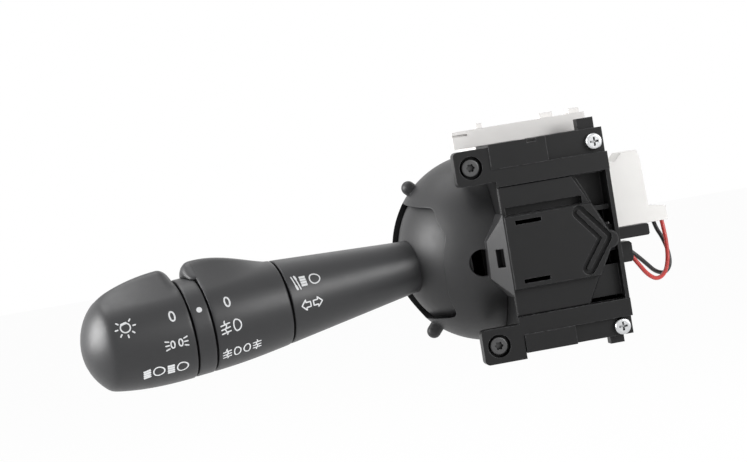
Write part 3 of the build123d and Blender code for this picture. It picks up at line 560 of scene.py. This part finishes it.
@dataclass
class Grips:
    """Arm, fog collar, index ring and light knob as the hand meets them."""

    arm: tuple[float, float] = (26.0, 79.4)
    arm_radius: tuple[float, float] = (8.75, 14.65)
    collar: tuple[float, float] = (80.0, 107.6)
    collar_radius: tuple[float, float] = (14.75, 16.6)
    collar_rise: float = 4.9
    collar_foot: float = 1.5
    nose: float = 3.4
    nose_half: float = 0.42
    nose_gap: float = 0.15
    ring: tuple[float, float] = (108.2, 114.2)
    ring_radius: float = 16.65
    knob: tuple[float, float] = (114.8, 149.0)
    knob_radius: float = 16.8
    knob_fall: float = 3.0
    knob_corner: float = 6.0
    knob_dome: float = 19.5
    knob_rise: float = 4.4
    crest_foot: float = 4.2
    crest_length: float = 20.0
    crest_fall: float = 0.36
    spigots: tuple[tuple[str, str, float, float, float], ...] = (
        ("ring_spigot", "index_ring", 104.5, 117.5, 13.7),
        ("arm_spigot", "lever_arm", 76.0, 84.0, 12.0),
    )

    def arm_form(self) -> GripForm:
        """Straight taper of the arm."""
        (s0, s1), (r0, r1) = self.arm, self.arm_radius
        return GripForm(s0, s1, lambda s: r0 + (r1 - r0) * (s - s0) / (s1 - s0), lambda s: 0.0, step=2.0)

    def collar_form(self) -> GripForm:
        """Collar whose crest swells towards the ring."""
        (s0, s1), (r0, r1) = self.collar, self.collar_radius
        span = s1 - s0

        def radius(s: float) -> float:
            """Radius of the round part."""
            return r0 + (r1 - r0) * math.sin((s - s0) / span * math.pi / 2)

        def rise(s: float) -> float:
            """Height of the crest."""
            share = min(max((s - s0 - self.collar_foot) / (span - 2 * self.collar_foot), 0.0), 1.0)
            return self.collar_rise * math.sin(share * math.pi / 2) ** 1.2

        return GripForm(s0, s1, radius, rise)

    def ring_form(self) -> GripForm:
        """Plain band of the index ring."""
        return GripForm(*self.ring, lambda s: self.ring_radius, lambda s: 0.0, rim=0.4)

    def knob_form(self) -> GripForm:
        """Knob with a steep crest at its foot and a domed end."""
        s0, s1 = self.knob

        def sink(s: float) -> float:
            """How far the lower side closes in."""
            return self.knob_fall * ((s - s0) / (s1 - s0 - self.knob_corner)) ** 2.5

        def rise(s: float) -> float:
            """Height of the crest."""
            foot = min((s - s0) / self.crest_foot, 1.0)
            along = max(s - s0 - self.crest_foot, 0.0) / self.crest_length
            step = (1.0 - (1.0 - foot) ** 2) ** 0.65
            crest = self.knob_rise * step * (1.0 - self.crest_fall * along ** 2)
            return crest - (1.0 - CREST_SINK) * sink(s)

        return GripForm(s0, s1, lambda s: self.knob_radius, rise, sink, dome=self.knob_dome, step=0.7)

    def fin_nose(self, frame: Matrix) -> bpy.types.Object:
        """Rounded end of the collar's crest, which reaches over the index ring.

        Args:
            frame: Matrix from the lever's frame to the row frame.

        Returns:
            The new object.
        """
        form = self.collar_form()
        root = self.collar[1] - form.rim
        floor = self.ring_radius + self.nose_gap
        columns, rows = 28, 14
        points, faces = [], []
        for row in range(rows + 1):
            turn = math.pi / 2 * row / rows
            for side in (1, 0):
                for column in range(columns + 1):
                    share = column / columns * 2 - 1
                    angle = share * self.nose_half
                    length = form.rim + self.nose * math.sqrt(max(1.0 - share * share, 0.0))
                    top = form.reach(root, angle) - floor
                    r = floor + side * top * math.cos(turn)
                    s = root + length * math.sin(turn)
                    points.append(frame @ (Vector((r * math.cos(angle), r * math.sin(angle), s)) * MM))
        ring = 2 * (columns + 1)
        loop = list(range(columns + 1)) + list(range(ring - 1, columns, -1))
        for row in range(rows):
            base, after = row * ring, (row + 1) * ring
            for i, j in zip(loop, loop[1:] + loop[:1]):
                faces.append((base + j, base + i, after + i, after + j))
        faces.append(loop)
        return new_piece("collar_fin_end", points, faces, Body.COLLAR, smooth_angle=50.0)

    def build(self, shop: PaintShop, frame: Matrix) -> None:
        """Make the four grips, the fin's end and the spigots that close the seams from inside.

        Args:
            shop: Source of the materials.
            frame: Matrix from the lever's frame to the row frame.
        """
        pieces = [(self.fin_nose(frame), "fog_collar")]
        for name, node, form, body in (
                ("arm_grip", "lever_arm", self.arm_form(), Body.LEVER),
                ("collar_grip", "fog_collar", self.collar_form(), Body.COLLAR),
                ("ring_grip", "index_ring", self.ring_form(), Body.LEVER),
                ("knob_grip", "light_knob", self.knob_form(), Body.KNOB)):
            pieces.append((form.build(name, body, frame), node))
        for name, node, start, end, radius in self.spigots:
            form = GripForm(start, end, lambda s, r=radius: r, lambda s: 0.0, rim=0.3, wall=3.0, step=2.0)
            pieces.append((form.build(name, Body.LEVER, frame), node))
        for piece, node in pieces:
            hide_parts(node)
            shop.coat(GRIP, piece)
            LOG.info("%s with %d corners", piece.name, len(piece.data.vertices))


@dataclass(frozen=True)
class Stroke:
    """One pad-printed line: points to the right and up, in millimetres, and its width."""

    path: tuple[Point2, ...]
    width: float = 0.44
    round_ends: bool = True

    def moved(self, right: float = 0.0, up: float = 0.0, size: float = 1.0,
              mirror: bool = False) -> "Stroke":
        """Copy that is scaled, mirrored and moved.

        Args:
            right: Move along the lever, towards the housing.
            up: Move round the lever, towards the crest.
            size: Scale of the path.
            mirror: Whether left and right change places.

        Returns:
            The new stroke.
        """
        way = -size if mirror else size
        path = tuple((u * way + right, v * size + up) for u, v in self.path)
        return Stroke(path, self.width, self.round_ends)

    def outline(self, spacing: float = 0.3) -> list[tuple[Point2, Point2]]:
        """Left and right edge points along the stroke.

        Args:
            spacing: Largest distance between two pairs.

        Returns:
            Pairs of edge points.
        """
        closed = self.path[0] == self.path[-1]
        line = [Vector(self.path[0])]
        for start, end in zip(self.path, self.path[1:]):
            count = max(1, math.ceil(math.dist(start, end) / spacing))
            line += [Vector(start).lerp(Vector(end), i / count) for i in range(1, count + 1)]
        half = self.width / 2
        widths = [half] * len(line)
        if self.round_ends and not closed:
            first = (line[0] - line[1]).normalized()
            last = (line[-1] - line[-2]).normalized()
            turns = [math.radians(v) for v in END_TURNS]
            line = ([line[0] + first * half * math.sin(t) for t in reversed(turns)] + line
                    + [line[-1] + last * half * math.sin(t) for t in turns])
            widths = ([half * math.cos(t) for t in reversed(turns)] + widths
                      + [half * math.cos(t) for t in turns])
        pairs = []
        for i, (point, wide) in enumerate(zip(line, widths)):
            before = line[i - 1] if i else (line[-2] if closed else line[0])
            after = line[i + 1] if i + 1 < len(line) else (line[1] if closed else line[-1])
            way = (after - before).normalized()
            across = Vector((-way.y, way.x)) * wide
            pairs.append((tuple(point + across), tuple(point - across)))
        return pairs


def oval(right: float, up: float, wide: float, high: float,
         narrow: float | None = None) -> tuple[Point2, ...]:
    """Closed oval, which may have a narrower left half.

    Args:
        right: Place of its middle along the lever.
        up: Place of its middle round the lever.
        wide: Half width, or that of the right half.
        high: Half height.
        narrow: Half width of the left half.

    Returns:
        The oval's points.
    """
    left = wide if narrow is None else narrow
    turns = [math.tau * i / 32 for i in range(33)]
    points = []
    for turn in turns:
        half = wide if math.cos(turn) > 0 else left
        points.append((right + half * math.cos(turn), up + high * math.sin(turn)))
    return tuple(points[:-1] + points[:1])


def beams(slant: float, count: int = 4, wide: float = 2.4, pitch: float = 0.95,
          width: float = 0.8) -> tuple[Stroke, ...]:
    """Parallel light beams one above another.

    Args:
        slant: How far each beam falls from right to left.
        count: Number of beams.
        wide: Length of a beam.
        pitch: Distance between beams.
        width: Width of a beam.

    Returns:
        The strokes, middled on the origin.
    """
    rows = [(i - (count - 1) / 2) * pitch for i in range(count)]
    return tuple(Stroke(((-wide / 2, v - slant / 2), (wide / 2, v + slant / 2)), width, False)
                 for v in rows)


@dataclass(frozen=True)
class Symbol:
    """Printed symbol on a grip: millimetres along the lever, degrees up from the driver's side."""

    name: str
    grip: str
    station: float
    angle: float
    strokes: tuple[Stroke, ...]


def fog_lamp(slant: float, mirror: bool = False, size: float = 1.0,
             right: float = 0.0) -> tuple[Stroke, ...]:
    """Fog lamp: a lamp, three beams and a wavy line through them.

    Args:
        slant: How far each beam falls.
        mirror: Whether the beams are on the right.
        size: Scale of the symbol.
        right: Move along the lever.

    Returns:
        The strokes.
    """
    wave = tuple((-2.5 + 0.3 * math.sin(v * 2.6), v) for v in (i * 0.25 for i in range(-9, 10)))
    parts = (Stroke(oval(1.2, 0.0, 1.7, 1.9, 0.9)), Stroke(wave, 0.42)) + tuple(
        Stroke(((-4.1, v - slant), (-1.0, v)), 0.45) for v in (1.35, 0.0, -1.35))
    return tuple(part.moved(right=right, size=size, mirror=mirror) for part in parts)


def arrow(way: float) -> Stroke:
    """Outlined arrow that points left for -1 and right for 1."""
    upper = ((1.75, 0.0), (0.1, 1.75), (0.1, 0.85), (-1.55, 0.85))
    lower = tuple((u, -v) for u, v in reversed(upper))
    return Stroke(tuple((u * way, v) for u, v in upper + lower), 0.45)


def ray(turn: float) -> Stroke:
    """Short ray that leaves a lamp in a direction given in degrees."""
    way = Vector((math.cos(math.radians(turn)), math.sin(math.radians(turn))))
    return Stroke((tuple(way * 2.6), tuple(way * 3.35)), 0.5)


ZERO = (Stroke(oval(0.0, 0.0, 0.85, 1.6), 0.55),)
HEADLAMP = Stroke(oval(0.0, 0.0, 2.2, 1.75, 1.5))
SIDE_LAMP = (Stroke(oval(1.35, 0.0, 0.65, 1.15)),) + tuple(
    Stroke(((2.6, v), (3.75, v * 1.3)), 0.44) for v in (1.15, 0.0, -1.15))
SYMBOLS = (
    Symbol("all_lamps_symbol", "knob_grip", 136.1, 24.4, (
        Stroke(oval(0.0, 0.0, 1.6, 1.6)), Stroke(((-1.0, 1.35), (0.5, 1.6)), 0.8))
        + tuple(ray(turn) for turn in (48, 138, 182, 228, 274, 316, 2))),
    Symbol("knob_zero", "knob_grip", 120.5, 22.6, ZERO),
    Symbol("side_lamps_symbol", "knob_grip", 121.3, -8.4,
           SIDE_LAMP + tuple(part.moved(mirror=True) for part in SIDE_LAMP)),
    Symbol("dipped_beam_symbol", "knob_grip", 130.2, -37.8, (
        HEADLAMP.moved(right=1.5),) + tuple(part.moved(right=-2.1, up=-0.35) for part in beams(0.7))),
    Symbol("main_beam_symbol", "knob_grip", 122.2, -39.0, (
        HEADLAMP.moved(right=1.5),) + tuple(part.moved(right=-2.1) for part in beams(0.0))),
    Symbol("index_dot", "ring_grip", 111.2, 21.8, (Stroke(((-0.01, 0.0), (0.01, 0.0)), 1.9),)),
    Symbol("collar_zero", "collar_grip", 101.4, 22.5, ZERO),
    Symbol("front_fog_symbol", "collar_grip", 101.6, -6.2, fog_lamp(0.5)),
    Symbol("both_fogs_symbol", "collar_grip", 99.4, -39.8,
           fog_lamp(0.5, size=0.88, right=-3.1) + fog_lamp(0.0, mirror=True, size=0.88, right=3.1)),
    Symbol("flash_symbol", "arm_grip", 72.2, 26.0, (
        HEADLAMP.moved(right=2.7), Stroke(((-4.9, 2.2), (-4.1, -2.4)), 0.42),
        Stroke(((-3.8, 2.4), (-2.9, -2.5)), 0.42), Stroke(((-4.3, -1.2), (-4.05, -2.3)), 0.75),
        Stroke(((-3.75, 2.2), (-3.5, 1.2)), 0.75))
        + tuple(part.moved(right=-1.2) for part in beams(0.0, wide=2.2))),
    Symbol("turn_signal_symbol", "arm_grip", 72.5, -7.6,
           (arrow(-1.0).moved(right=-2.1), arrow(1.0).moved(right=2.1))),
)


@dataclass
class PadPrinter:
    """Prints symbols on the curved grips as thin raised ink."""

    lift: float = 0.03
    depth: float = 0.12

    def print_on(self, form: GripForm, body: Body, symbol: Symbol, frame: Matrix) -> bpy.types.Object:
        """Make one symbol's ink.

        Args:
            form: Form of the grip below it.
            body: Body that the grip rides on.
            symbol: Symbol to print.
            frame: Matrix from the lever's frame to the row frame.

        Returns:
            The ink's object.
        """
        angle = math.radians(symbol.angle) - math.pi / 2
        scale = form.reach(symbol.station, angle)
        points, faces = [], []
        for stroke in symbol.strokes:
            pairs = stroke.outline()
            base = len(points)
            for pair in pairs:
                for (right, up), height in [(edge, h) for h in (self.lift, -self.depth) for edge in pair]:
                    s, a = symbol.station - right, angle + up / scale
                    r = form.reach(s, a) + height
                    points.append(frame @ (Vector((r * math.cos(a), r * math.sin(a), s)) * MM))
            for i in range(len(pairs) - 1):
                k, m = base + 4 * i, base + 4 * i + 4
                faces += [(k, k + 1, m + 1, m), (k + 3, k + 2, m + 2, m + 3),
                          (k + 2, k, m, m + 2), (k + 1, k + 3, m + 3, m + 1)]
            last = len(points) - 4
            faces += [(base, base + 2, base + 3, base + 1), (last, last + 1, last + 3, last + 2)]
        return new_piece(symbol.name, points, faces, body)

    def build(self, shop: PaintShop, grips: Grips, frame: Matrix) -> None:
        """Print all symbols.

        Args:
            shop: Source of the materials.
            grips: The grips that carry them.
            frame: Matrix from the lever's frame to the row frame.
        """
        places = {
            "knob_grip": (grips.knob_form(), Body.KNOB),
            "ring_grip": (grips.ring_form(), Body.LEVER),
            "collar_grip": (grips.collar_form(), Body.COLLAR),
            "arm_grip": (grips.arm_form(), Body.LEVER),
        }
        for symbol in SYMBOLS:
            shop.coat(SYMBOL_WHITE, self.print_on(*places[symbol.grip], symbol, frame))
        LOG.info("%d symbols printed", len(SYMBOLS))


@dataclass
class LeadWires:
    """The two thin leads from the housing's block to the side connector."""

    diameter: float = 1.5
    black: tuple[Point3, ...] = (
        (54.6, 6.3, -7.3), (57.6, 6.8, -10.2), (60.7, 8.2, -13.4), (64.1, 10.6, -16.8),
        (68.3, 13.0, -18.2), (71.4, 15.2, -15.6), (71.9, 17.2, -10.6), (71.0, 19.0, -5.6),
        (69.6, 20.2, -2.2), (69.2, 20.5, 0.5),
    )
    red: tuple[Point3, ...] = (
        (54.6, 3.6, -9.6), (56.8, 3.9, -13.0), (59.4, 4.8, -16.8), (63.2, 7.0, -19.3),
        (67.2, 9.6, -17.9), (69.6, 12.0, -13.9), (70.8, 14.2, -9.1), (71.4, 16.4, -3.9),
        (71.2, 17.2, 0.5),
    )
    black_length: float = 40.7
    red_length: float = 39.1

    def lead(self, name: str, route: Sequence[Point3]) -> bpy.types.Object:
        """Make one lead as a smooth round curve.

        Args:
            name: Name of the piece.
            route: Control points in millimetres.

        Returns:
            The curve object.
        """
        curve = bpy.data.curves.new(name, "CURVE")
        curve.dimensions = "3D"
        curve.bevel_depth = self.diameter / 2 * MM
        curve.bevel_resolution = 5
        curve.resolution_u = 10
        curve.use_fill_caps = True
        spline = curve.splines.new("NURBS")
        spline.points.add(len(route) - 1)
        for point, place in zip(spline.points, route):
            point.co = (*(Vector(place) * MM), 1.0)
        spline.order_u = 3
        spline.use_endpoint_u = True
        piece = bpy.data.objects.new(name, curve)
        bpy.context.collection.objects.link(piece)
        return piece

    def build(self, shop: PaintShop) -> None:
        """Args:
            shop: Source of the materials.
        """
        for name, route, length, finish, slot in (
                ("black_lead", self.black, self.black_length, WIRE_BLACK, "wire_black"),
                ("red_lead", self.red, self.red_length, WIRE_RED, "wire_red")):
            piece = self.lead(name, route)
            shop.coat(finish, piece)
            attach(piece, Body.HOUSING.value)
            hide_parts("lead_wire_" + name.split("_")[0])
            LOG.info("%s along %d points", name, len(route))


@dataclass
class Housing:
    """Switch housing: ball cover, fixing frame, pale carrier, screws, contacts, carriage and finger."""

    def build(self, shop: PaintShop) -> None:
        """Dress the housing's nodes.

        Args:
            shop: Source of the materials.
        """
        shop.coat_nodes(DOME_BLACK, "dome_cover")
        shop.coat_nodes(FRAME_BLACK, "mounting_frame", "connector_shroud", "wire_block")
        shop.coat_nodes(CARRIER_WHITE, "contact_carrier")
        shop.coat_nodes(CONNECTOR_WHITE, "lead_connector")
        shop.coat_nodes(BOARD_GREEN, "contact_board")
        shop.coat_nodes(TINNED, "terminal_blades")
        shop.coat_nodes(BLACK_OXIDE, "fixing_screws")
        shop.coat_nodes(BRIGHT_ZINC, "cover_screws")
        shop.coat_nodes(INNER_CREAM, "detent_track")
        shop.coat_nodes(DRAWN_STEEL, "lever_pin", "finger_pin", "finger_spring")
        shop.coat_nodes(FRAME_BLACK, "cancel_finger", "turn_carriage")
        LOG.info("housing dressed")


@dataclass
class Lever:
    """Lever's ball shutter, yoke, plunger, core tube, and the shafts of collar and knob."""

    def build(self, shop: PaintShop) -> None:
        """Dress the lever's nodes.

        Args:
            shop: Source of the materials.
        """
        shop.coat_nodes(DOME_BLACK, "ball_shutter")
        shop.coat_nodes(FRAME_BLACK, "lever_yoke", "core_tube", "fog_tube")
        shop.coat_nodes(DRAWN_STEEL, "detent_plunger", "detent_spring", "knob_shaft")
        LOG.info("lever dressed")


@dataclass
class Studio:
    """Camera, white tent and lamps, with the camera's place fitted to the photograph."""

    yaw: float = 8.0
    elevation: float = 2.5
    roll: float = 9.32
    focal: float = 1750.0
    image_width: float = 747.0
    target: Point3 = (-33.95, 0.0, 14.4)
    distance: float = 590.5
    floor_z: float = -160.0
    floor_side: float = 6000.0
    floor_white: float = 0.96
    ambient: float = 0.36
    lamps: tuple[tuple[str, Point3, float, float], ...] = (
        ("key_lamp", (-240.0, 200.0, 820.0), 520.0, 2.7),
        ("left_lamp", (-790.0, -10.0, 210.0), 480.0, 11.0),
        ("right_lamp", (500.0, -500.0, 210.0), 360.0, 3.6),
        ("rear_lamp", (260.0, 620.0, 480.0), 500.0, 0.6),
    )

    def camera(self) -> None:
        """Place the camera at the photograph's view."""
        yaw, lift, roll = (math.radians(v) for v in (self.yaw, self.elevation, self.roll))
        look = Vector((math.sin(yaw) * math.cos(lift), math.cos(yaw) * math.cos(lift), -math.sin(lift)))
        right = Vector((math.cos(yaw), -math.sin(yaw), 0.0))
        up = right.cross(look)
        across = right * math.cos(roll) - up * math.sin(roll)
        upward = right * math.sin(roll) + up * math.cos(roll)
        turn = Matrix((across, upward, -look)).transposed().to_4x4()
        data = bpy.data.cameras.new("photo_camera")
        data.sensor_width = 36.0
        data.lens = self.focal / self.image_width * data.sensor_width
        data.clip_start = 0.01
        piece = bpy.data.objects.new("photo_camera", data)
        place = (Vector(self.target) - look * self.distance) * MM
        piece.matrix_world = Matrix.Translation(place) @ turn
        bpy.context.collection.objects.link(piece)
        bpy.context.scene.camera = piece

    def background_share(self, tree: bpy.types.NodeTree) -> bpy.types.NodeSocket:
        """Mask that is 1 where the camera, gloss or clear material looks at the background.

        Args:
            tree: Node tree that gets the nodes.

        Returns:
            The mask's socket.
        """
        path = tree.nodes.new("ShaderNodeLightPath")
        share = path.outputs["Is Camera Ray"]
        for name in ("Is Glossy Ray", "Is Transmission Ray"):
            either = tree.nodes.new("ShaderNodeMath")
            either.operation = "MAXIMUM"
            tree.links.new(share, either.inputs[0])
            tree.links.new(path.outputs[name], either.inputs[1])
            share = either.outputs[0]
        return share

    def world(self) -> None:
        """White background with a plain ambient level."""
        world = bpy.data.worlds.new("tent")
        world.use_nodes = True
        bpy.context.scene.world = world
        tree = world.node_tree
        dim = tree.nodes["Background"]
        dim.inputs["Color"].default_value = (1.0, 1.0, 1.0, 1.0)
        dim.inputs["Strength"].default_value = self.ambient
        white = tree.nodes.new("ShaderNodeBackground")
        white.inputs["Color"].default_value = (1.0, 1.0, 1.0, 1.0)
        mix = tree.nodes.new("ShaderNodeMixShader")
        tree.links.new(self.background_share(tree), mix.inputs[0])
        tree.links.new(dim.outputs[0], mix.inputs[1])
        tree.links.new(white.outputs[0], mix.inputs[2])
        tree.links.new(mix.outputs[0], tree.nodes["World Output"].inputs["Surface"])

    def floor(self) -> None:
        """Pale floor below the part, which keeps its soft shadow."""
        half = self.floor_side / 2 * MM
        z = self.floor_z * MM
        mesh = bpy.data.meshes.new("pale_floor")
        corners = [(-half, -half, z), (half, -half, z), (half, half, z), (-half, half, z)]
        mesh.from_pydata(corners, [], [(0, 1, 2, 3)])
        piece = bpy.data.objects.new("pale_floor", mesh)
        bpy.context.collection.objects.link(piece)
        material = bpy.data.materials.new("pale_floor")
        material.use_nodes = True
        tree = material.node_tree
        shader = tree.nodes["Principled BSDF"]
        shader.inputs["Base Color"].default_value = (0.92, 0.92, 0.92, 1.0)
        shader.inputs["Roughness"].default_value = 0.9
        glow = tree.nodes.new("ShaderNodeEmission")
        mix = tree.nodes.new("ShaderNodeMixShader")
        share = tree.nodes.new("ShaderNodeMath")
        share.operation = "MULTIPLY"
        share.inputs[1].default_value = self.floor_white
        tree.links.new(self.background_share(tree), share.inputs[0])
        tree.links.new(share.outputs[0], mix.inputs[0])
        tree.links.new(shader.outputs[0], mix.inputs[1])
        tree.links.new(glow.outputs[0], mix.inputs[2])
        tree.links.new(mix.outputs[0], tree.nodes["Material Output"].inputs["Surface"])
        mesh.materials.append(material)

    def lamp(self, name: str, place: Point3, side: float, power: float) -> None:
        """Add one soft lamp that looks at the part.

        Args:
            name: Name of the lamp.
            place: Place in millimetres.
            side: Side of its square face in millimetres.
            power: Power in watts.
        """
        data = bpy.data.lights.new(name, "AREA")
        data.size = side * MM
        data.energy = power
        piece = bpy.data.objects.new(name, data)
        piece.location = Vector(place) * MM
        way = Vector(self.target) * MM - piece.location
        piece.rotation_euler = way.to_track_quat("-Z", "Y").to_euler()
        bpy.context.collection.objects.link(piece)

    def build(self) -> None:
        """Set up the camera, background and lamps."""
        bpy.context.scene.view_settings.view_transform = "Standard"
        self.camera()
        self.world()
        self.floor()
        for lamp in self.lamps:
            self.lamp(*lamp)
        LOG.info("studio ready with %d lamps", len(self.lamps))


def main() -> None:
    """Build the studio and dress every sub-assembly."""
    logging.basicConfig(level=logging.INFO, format="%(name)s: %(message)s")
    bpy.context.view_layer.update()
    shop = PaintShop(FINISHES)
    Studio().build()
    Housing().build(shop)
    Lever().build(shop)
    grips, axis = Grips(), LeverAxis().frame()
    grips.build(shop, axis)
    PadPrinter().build(shop, grips, axis)
    LeadWires().build(shop)


if __name__ == "__main__":
    main()
